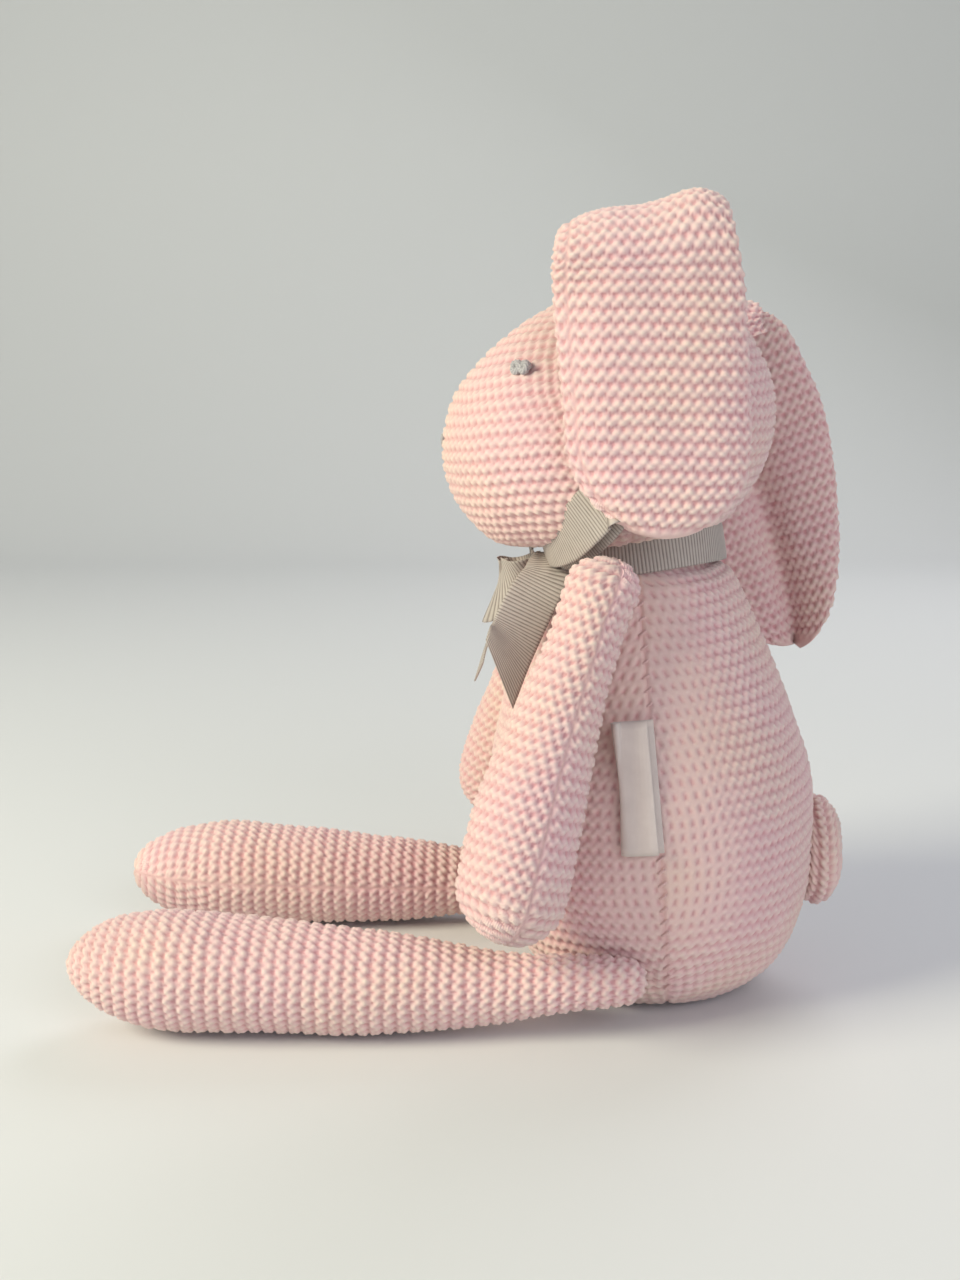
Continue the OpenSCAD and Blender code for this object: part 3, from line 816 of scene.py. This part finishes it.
def eye(side):
    """A French knot: two fat coils of grey yarn side by side."""
    at = EYE_AT * np.array([side, 1, 1])
    out = unit(at - HEAD_AT)
    e1 = unit(np.cross([0, 0, 1.0], out)) * side
    e2 = np.cross(out, e1)
    coils = []
    for k, (shift, turn, size) in enumerate(((-1.7, 0.4, 1.65), (1.75, -0.5, 1.5))):
        t = np.linspace(0, 2 * math.pi * 1.6, 30)
        c = at + e1 * shift
        pts = [
            c + (e1 * math.cos(a + turn) + e2 * math.sin(a + turn)) * size * 0.75
            + out * (0.25 + 0.9 * i / len(t))
            for i, a in enumerate(t)
        ]
        yarn = MATERIALS["thread"]
        coils.append(tube(f"coil{k}", pts[::3], 1.15, yarn, sides=12, samples=70, ply=0.12, turns=5))
        dome = [c + out * v for v in (-0.6, 0.2, 1.0)]
        coils.append(tube(f"dome{k}", dome, 1.35, yarn, sides=12, samples=14, ply=0.1, turns=1))
    name = "left_eye_knot" if side > 0 else "right_eye_knot"
    o = joined(name, coils)
    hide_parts("left_eye" if side > 0 else "right_eye")
    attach(o, "head")


def nose():
    """Short satin stitches drawn together into a small nose."""
    made = []
    for i in range(5):
        k = i - 2
        top = NOSE_AT + np.array([k * 1.55, abs(k) * 0.14, 2.6 - 0.2 * abs(k)])
        low = NOSE_AT + np.array([k * 0.55, 0.05, -2.2 + 0.5 * abs(k)])
        mid = (top + low) / 2 + np.array([0, -0.3, 0])
        made.append(tube(f"stitch{i}", [top, mid, low], 0.62, MATERIALS["thread"], samples=22, ply=0.12,
                         turns=2))
    o = joined("nose_satin_stitches", made)
    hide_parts("nose_stitching")
    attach(o, "head")


def seam_thread(side):
    """Little bars of yarn that close the side seam."""
    made = []
    first, last = 14, 140
    for i, t in enumerate(np.arange(first, last, RIDGE)):
        r = float(body_rad(np.array(t))) - 0.35
        k = hashed(np.array(i * 1.0), np.array(side * 1.0), 4)
        y = -r * math.sin(math.radians(SEAM_TURN))
        a = from_body(np.array([side * r, y - 1.3, t - 0.8 + 0.3 * k]))
        b = from_body(np.array([side * (r + 0.35), y, t]))
        c = from_body(np.array([side * r, y + 1.3, t + 0.8 + 0.3 * k]))
        made.append(tube(f"bar{i}", [a, b, c], 0.42, MATERIALS["seam_thread"], sides=8, samples=10))
    word = "left" if side > 0 else "right"
    o = joined(f"{word}_seam_bars", made)
    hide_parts(f"{word}_seam_thread")
    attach(o, "torso")


def strip(name, points, across, width, material, thick=0.5, rib=1.15, rib_h=0.13, step=None, cut=0.0,
          bulge=0.0, narrow=0.0, widths=None):
    """A ribbon along a smooth line. across gives its width direction at each point. Ribs cross it.
    bulge bows it across its width, narrow gathers its start, cut slants its far end, and widths
    replace width at each point."""
    wide = widths if widths else [width] * len(points)
    columns = [np.asarray(points, float), np.asarray(across, float), np.asarray(wide, float)[:, None]]
    table = np.hstack(columns)
    _, length = spline(table[:, :3], 400)
    step = step or rib / 6
    n = int(length / step)
    line, _ = spline(table, n)
    mid, wd, wide = line[:, :3], unit(line[:, 3:6]), line[:, 6]
    t = unit(np.gradient(mid, axis=0))
    wd = unit(wd - t * (wd * t).sum(axis=1, keepdims=True))
    nrm = np.cross(t, wd)
    s = np.linspace(0, length, n)
    m = 18
    v = np.linspace(-0.5, 0.5, m)
    ridge = 0.5 + 0.5 * np.cos(2 * math.pi * s[:, None] / rib) + 0 * v[None]
    w_here = wide * (1 - narrow * np.exp(-s / 6))
    pleats = 0.9 * narrow * np.cos(6 * math.pi * v)[None] * np.exp(-s / 6)[:, None]
    bow = bulge * (1 - 4 * v[None] ** 2) + pleats
    body = mid[:, None] + wd[:, None] * (v[None, :, None] * w_here[:, None, None])
    if cut:
        share = smooth((s - (length - abs(cut) - 10)) / (abs(cut) + 10))[:, None]
        slide = share * (v[None] * np.sign(cut) - 0.5) * abs(cut)
        body = body + t[:, None] * slide[..., None]
    # thinner at its two edges
    half = (thick / 2 + rib_h * ridge) * arc(v, 0.505)[None] ** 0.35
    top = body + nrm[:, None] * (bow + half)[..., None]
    low = body + nrm[:, None] * (bow - half)[..., None]
    k = n * m
    verts = np.vstack([top.reshape(-1, 3), low.reshape(-1, 3)])
    faces = [grid_faces(n, m, False), grid_faces(n, m, False, k, flip=True)]
    rows = np.arange(n - 1) * m
    for col in (0, m - 1):
        side = np.stack([rows + col, rows + m + col, rows + m + col + k, rows + col + k], 1)
        faces.append(side if col == 0 else side[:, ::-1])
    cols = np.arange(m - 1)
    for row in (0, n - 1):
        endf = np.stack([row * m + cols, row * m + cols + 1, row * m + cols + 1 + k, row * m + cols + k], 1)
        faces.append(endf[:, ::-1] if row == 0 else endf)
    uv = np.stack([np.repeat(s, m), (v[None] * w_here[:, None]).reshape(-1)], 1)
    uv = np.vstack([uv, uv])
    # the rib height, which the ribbon's colour follows for painted shade in the grooves
    high = np.concatenate([ridge.reshape(-1)] * 2)
    return make_mesh(name, verts, faces, material, uv, {"rib_h": high}), length


def label():
    """The folded, blank tab in the left seam."""
    under_label_r = 53.0
    pts, across = [], []
    # y in the body's frame and the gap to the body, along the tab to its fold and back
    out_layer = ((-1.8, 0.6), (-5.4, 1.0), (-9.4, 1.1), (-12.8, 1.5), (-13.7, 2.1))
    back_layer = ((-12.7, 2.8), (-9.4, 2.7), (-5.9, 2.9), (-3.8, 2.6))
    for y, lift in out_layer + back_layer:
        x = math.sqrt(under_label_r**2 - y * y) + lift
        pts.append(from_body(np.array([x, y, LABEL_Z])))
        top = from_body(np.array([x - 2.7, y, LABEL_Z + 20]))
        across.append(top - from_body(np.array([x + 2.3, y, LABEL_Z - 20])))
    o, length = strip("side_label_tab", pts, across, LABEL_H, MATERIALS["label"], thick=0.35, rib=0.5,
                      rib_h=0.02, step=0.35)
    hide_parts("side_label")
    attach(o, "torso")


# ==============================
# ribbon
# ==============================
def ribbon():
    """The neck band, the knot, the two loops and the two tails of the bow."""
    rib = MATERIALS["ribbon"]

    def put(o, node, flat, held, area=None, body="torso", start=None, end=None):
        """Sets a finished piece down: hides its CAD part, then bakes its placement in if start is given, else
        attaches it to body; end is not used.
        """
        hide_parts(node)
        if start:
            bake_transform(o)
        else:
            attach(o, body)

    # the band round the neck, a little wavy
    band_r, band_w, back = 27.6, 12.5, 2.6
    pts, across = [], []
    for a in np.linspace(0, 360, 33):
        q = math.radians(a - 90)
        x, y = band_r * math.cos(q), band_r * math.sin(q)
        z = 151.0 + 0.6 * math.sin(3 * q)
        at = from_body(np.array([x, y + back, z]))
        pts.append(at)
        across.append(from_body(np.array([x * 0.97, y * 0.97 + back, z + 10])) - at)
    o, length = strip("grosgrain_neck_band", pts, across, band_w, rib)
    put(o, "ribbon_neck_band", (band_w * MM, length * MM), "stretched")

    # the knot: a short turn of ribbon round the crossing
    c, knot_w = np.array([4.5, -47.8, 150.5]), 11.0
    pts, across = [], []
    ax = unit([0.93, -0.1, 0.36])
    e1 = unit(np.cross(ax, [0, 0, 1.0]))
    e2 = np.cross(ax, e1)
    for deg in np.linspace(0, 360, 17):
        q = math.radians(deg)
        pts.append(c + e1 * 4.2 * math.cos(q) + e2 * 5.6 * math.sin(q))
        across.append(ax)
    o, length = strip("grosgrain_knot", pts, across, knot_w, rib, thick=0.6, bulge=0.6)
    put(o, "ribbon_knot", (0.0105, length * MM), "folded")

    # the left loop goes out under the cheek and up behind the ear's rim
    front = [(3, -47.5, 150.5, 6), (12, -48.5, 150, 8), (22, -47, 150.5, 11), (33, -42.5, 155, 14),
             (41.5, -38, 161.5, 15.5), (46.5, -33.5, 167, 15.5)]
    back = [(45.5, -30.5, 166.5, 15.5), (38, -34.5, 159, 14), (27, -40, 151, 11), (14, -45.5, 148, 8),
            (4, -47, 149, 6)]
    across = [(0.1 + 0.006 * x, 0.15 + 0.011 * x, -0.95) for x, y, z, width in front + back]
    # it leans on the cheek
    loop_strip(put, "left", front + back, across, body="neck", start=(6, -47.5, 150), end=(30, -43, 155))

    # the right loop droops forward, open above and below
    front = [(4, -48.5, 146.8, 5), (6.5, -52, 143, 9), (7, -56, 139.6, 14), (5, -60.5, 137, 20),
             (0.5, -63.6, 134.8, 22.5)]
    back = [(-3, -63.4, 134.8, 22.5), (-6, -59.5, 137, 19.5), (-5.5, -55, 139.8, 13), (-1.5, -50.5, 145.4, 5)]
    across = [(0.05, 0.25 - 0.008 * (y + 48), 0.95) for x, y, z, width in front + back]
    loop_strip(put, "right", front + back, across)

    # the left tail hangs down beside the chest, its end cut on the slant
    path = [(10.5, -47, 149), (19, -47.4, 143.5), (24.5, -53.5, 133.5), (28, -60, 119.5), (29.5, -66, 103.5)]
    across = [(0.45, 0.85, -0.1), (0.45, 0.8, -0.35), (0.15, 0.85, -0.48), (-0.1, 0.84, -0.52),
              (-0.2, 0.83, -0.54)]
    o, length = strip("grosgrain_left_tail", path, across, RIBBON_W, rib, cut=18.0, narrow=0.4)
    put(o, "ribbon_left_tail", (RIBBON_W * MM, length * MM), "hung", body="left_ribbon_tail",
        area=RIBBON_W * (length - 11) * MM * MM, start=(12, -45.7, 150.5), end=(22.5, -51, 138))

    # the right tail hangs in front, edge-on from the side
    path = [(-3, -51, 145), (-9, -56.5, 137.5), (-13, -62, 126), (-15, -66.8, 113), (-16, -71, 98)]
    across = [(0.95, 0.1, 0.2), (0.97, 0.1, 0.15), (0.99, 0.02, 0.1), (0.99, 0, 0.08), (0.99, 0.03, 0.08)]
    o, length = strip("grosgrain_right_tail", path, across, RIBBON_W, rib, cut=-12.0, narrow=0.5)
    put(o, "ribbon_right_tail", (RIBBON_W * MM, length * MM), "hung", body="right_ribbon_tail",
        area=RIBBON_W * (length - 9) * MM * MM, start=(-4, -52, 145), end=(-10.5, -58.5, 134))


def loop_strip(put, word, stops, across, **follow):
    """One loop of the bow: out along the first stops and back along the last, with its width at each."""
    path = [q[:3] for q in stops]
    wide = [q[3] for q in stops]
    mean_w = float(np.mean(wide))
    o, length = strip(f"grosgrain_{word}_loop", path, across, 1.0, MATERIALS["ribbon"], widths=wide,
                      bulge=0.3)
    area = mean_w * length * MM * MM if mean_w < RIBBON_W else None
    put(o, f"ribbon_{word}_loop", (RIBBON_W * MM, length * MM), "folded", area, **follow)


def neck_sleeve():
    """The knitted neck inside the ribbon."""
    t = np.linspace(SLEEVE_FROM, SLEEVE_TO, int((SLEEVE_TO - SLEEVE_FROM) / STEP))
    ang = np.linspace(0, 2 * math.pi, int(2 * math.pi * 24 / STEP), endpoint=False)
    x, y = SLEEVE_R * np.cos(ang)[None], SLEEVE_R * np.sin(ang)[None]
    p = from_body(np.stack([x + 0 * t[:, None], y + 0 * t[:, None], t[:, None] + 0 * x], -1))
    n = grid_normals(p, True)
    out = 1.0 if n[5, 0][0] > 0 else -1.0
    tips = [from_body(np.array([0, 0, float(z)])) for z in (SLEEVE_FROM, SLEEVE_TO)]
    o = knit_cover("neck_sleeve", p, 61, closed=True, out=out, seam_dip=0.2, tips=tips)
    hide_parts("neck_stuffing")
    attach(o, "neck")


# ==============================
# stage
# ==============================
def stage():
    """A pale floor that sweeps up behind, three lamps, the world and the photo's camera."""
    me = bpy.data.meshes.new("floor")
    half_w, near, back, bend, top = 3.0, 2.2, -1.6, 0.5, 2.6
    verts, faces = [], []
    prof = [(near, 0.0), (back + bend, 0.0)]
    for a in np.linspace(0.06, math.pi / 2, 24):
        prof.append((back + bend - bend * math.sin(a), bend - bend * math.cos(a)))
    prof.append((back, top))
    for x, z in prof:
        verts += [(x, -half_w, z), (x, half_w, z)]
    for i in range(len(prof) - 1):
        faces.append((2 * i, 2 * i + 1, 2 * i + 3, 2 * i + 2))
    me.from_pydata(verts, [], faces)
    me.polygons.foreach_set("use_smooth", [True] * len(me.polygons))
    mat, shader, add, link = nodes_of("pale_floor")
    shader.inputs["Base Color"].default_value = (0.72, 0.73, 0.74, 1)
    shader.inputs["Roughness"].default_value = 0.7
    me.materials.append(mat)
    floor = bpy.data.objects.new("floor", me)
    bpy.context.scene.collection.objects.link(floor)

    def area(name, at, target, size, power, colour):
        lamp = bpy.data.lights.new(name, "AREA")
        lamp.shape = "DISK"
        lamp.size, lamp.energy, lamp.color = size, power, colour
        o = bpy.data.objects.new(name, lamp)
        o.location = at
        o.rotation_euler = (Vector(target) - Vector(at)).to_track_quat("-Z", "Y").to_euler()
        bpy.context.scene.collection.objects.link(o)

    centre = (0, -0.06, 0.12)
    area("key", (0.55, -1.25, 0.8), centre, 0.7, 22.5, (0.98, 0.95, 0.73))
    area("fill", (1.2, 0.6, 0.7), centre, 1.2, 7.5, (0.92, 0.94, 1.0))
    area("rim", (-0.9, 0.5, 1.0), centre, 0.9, 5.5, (0.97, 0.95, 1.0))
    world = bpy.data.worlds.new("studio")
    world.use_nodes = True
    world.node_tree.nodes["Background"].inputs["Color"].default_value = (0.82, 0.86, 0.9, 1)
    world.node_tree.nodes["Background"].inputs["Strength"].default_value = 0.345
    bpy.context.scene.world = world

    # the photo's view: level with the eyes, on the toy's left side, tilted down
    tilt_down = 10.4
    cam = bpy.data.cameras.new("camera")
    cam.sensor_width = 36
    cam.lens = 40.47
    cam.clip_start = 0.01
    o = bpy.data.objects.new("camera", cam)
    o.location = (0.475, -0.069, 0.205)
    o.rotation_euler = (math.radians(90 - tilt_down), 0, math.radians(90))
    bpy.context.scene.collection.objects.link(o)
    bpy.context.scene.camera = o
    bpy.context.scene.view_settings.view_transform = "Standard"


body_panel(-1)
body_panel(1)
head_panel(True)
head_panel(False)
neck_sleeve()
for s in (1, -1):
    arm(s)
    leg(s)
    eye(s)
    seam_thread(s)
ear(True)
ear(False)
tail()
nose()
label()
ribbon()
stage()
